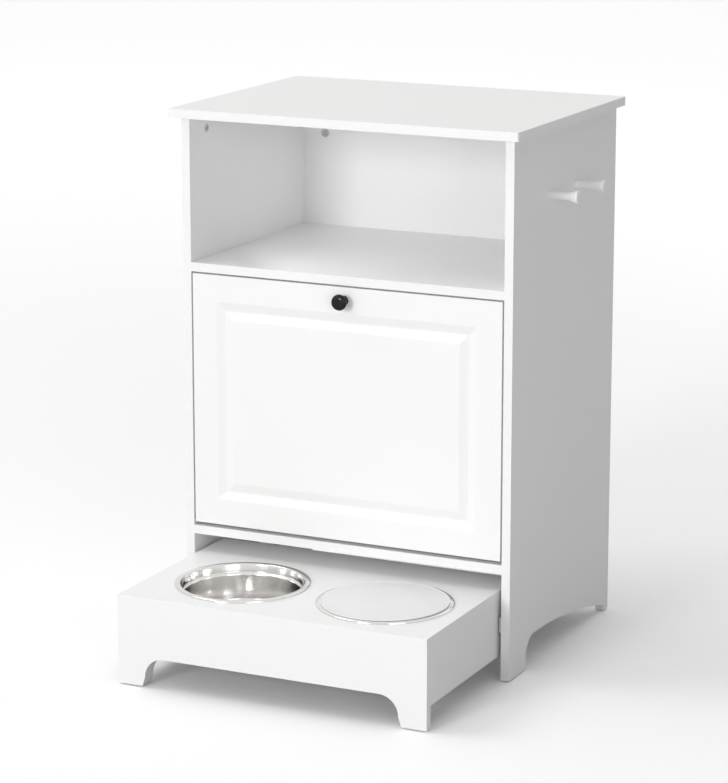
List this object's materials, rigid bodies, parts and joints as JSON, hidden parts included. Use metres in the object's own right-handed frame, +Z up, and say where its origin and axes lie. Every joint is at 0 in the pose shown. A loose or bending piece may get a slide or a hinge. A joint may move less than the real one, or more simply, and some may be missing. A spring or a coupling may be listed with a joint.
{
  "type": "elevated dog feeder with storage",
  "caption": "White cabinet with an open shelf over a tilt-out storage bin, and a pull-out drawer that holds steel feeding bowls; hanging pegs on one side.",
  "frame": {"origin": "on the floor, under the middle of the whole part's box, with the drawer drawn part way out", "axes": "+Z up, -Y towards the front where the door and drawer are, +X towards the side with the pegs"},
  "size_m": [0.668, 0.731, 0.915],
  "materials": {
    "white_board": "white satin laminate on fibreboard",
    "white_paint": "smooth white paint",
    "bare_wood": "bare beech",
    "zinc": "zinc plated",
    "runner_steel": "zinc-plated sheet",
    "bright_steel": "bright turned",
    "grey_plastic": "moulded",
    "bumper_rubber": "soft matt",
    "knob_black": "gloss black enamel",
    "bowl_steel": "polished stainless steel",
    "lid_plastic": "pale satin"
  },
  "bodies": {
    "cabinet": {"top_board": "white_board", "left_side_panel": "white_board", "right_side_panel": "white_board", "back_panel": "white_board", "middle_shelf": "white_board", "lower_deck": "white_board", "stop_batten": "white_board", "batten_screws": "zinc", "door_bumpers": "bumper_rubber", "magnets": "zinc", "side_cam_locks": "zinc", "back_cam_locks": "zinc", "shelf_cam_locks": "zinc", "top_cam_bolts": "zinc", "back_cam_bolts": "zinc", "shelf_cam_bolts": "zinc", "board_dowels": "bare_wood", "front_peg": "white_paint", "rear_peg": "white_paint", "peg_screws": "zinc", "pivot_bushes": "grey_plastic", "left_runner": "runner_steel", "right_runner": "runner_steel", "runner_screws": "zinc", "cabinet_glides": "grey_plastic"},
    "drawer": {"drawer_top": "white_board", "drawer_front": "white_board", "drawer_left_side": "white_board", "drawer_right_side": "white_board", "drawer_back": "white_board", "top_cleats": "bare_wood", "cleat_screws": "zinc", "foot_blocks": "white_board", "foot_block_screws": "zinc", "drawer_dowels": "bare_wood", "roller_brackets": "runner_steel", "bracket_screws": "zinc", "drawer_glides": "grey_plastic"},
    "left_roller": {"left_roller": "grey_plastic"},
    "right_roller": {"right_roller": "grey_plastic"},
    "door": {"door_panel": "white_board", "door_knob": "knob_black", "knob_screw": "zinc", "strike_plates": "zinc", "pivot_pins": "bright_steel", "bin_left_side": "white_board", "bin_right_side": "white_board", "bin_back": "white_board", "bin_bottom": "white_board", "bin_screws": "zinc", "bin_dowels": "bare_wood"},
    "left_bowl": {"left_bowl": "bowl_steel"},
    "right_bowl": {"right_bowl": "bowl_steel"},
    "bowl_lid": {"bowl_lid": "lid_plastic"}
  },
  "joints": [
    {"name": "drawer_slide", "type": "slide", "parent": "cabinet", "child": "drawer", "axis": [0, -1, 0], "range_m": [-0.276, 0.048]},
    {"name": "left_roller_spin", "type": "hinge", "parent": "drawer", "child": "left_roller", "pos_m": [-0.3, -0.0235, 0.096], "axis": [1, 0, 0], "range_deg": [-1356, 240]},
    {"name": "right_roller_spin", "type": "hinge", "parent": "drawer", "child": "right_roller", "pos_m": [0.262, -0.0235, 0.096], "axis": [1, 0, 0], "range_deg": [-1356, 240]},
    {"name": "door_tilt", "type": "hinge", "parent": "cabinet", "child": "door", "pos_m": [-0.019, -0.082, 0.213], "axis": [1, 0, 0], "range_deg": [0, 33]},
    {"name": "left_bowl_lift", "type": "slide", "parent": "drawer", "child": "left_bowl", "axis": [0, 0, 1], "range_m": [0, 0.09]},
    {"name": "right_bowl_lift", "type": "slide", "parent": "drawer", "child": "right_bowl", "axis": [0, 0, 1], "range_m": [0, 0.09]},
    {"name": "lid_lift", "type": "slide", "parent": "right_bowl", "child": "bowl_lid", "axis": [0, 0, 1], "range_m": [0, 0.05]}
  ],
  "couplings": [
    {"joint": "left_roller_spin", "follows": "drawer_slide", "rad_per_m": 85.47},
    {"joint": "right_roller_spin", "follows": "drawer_slide", "rad_per_m": 85.47}
  ]
}
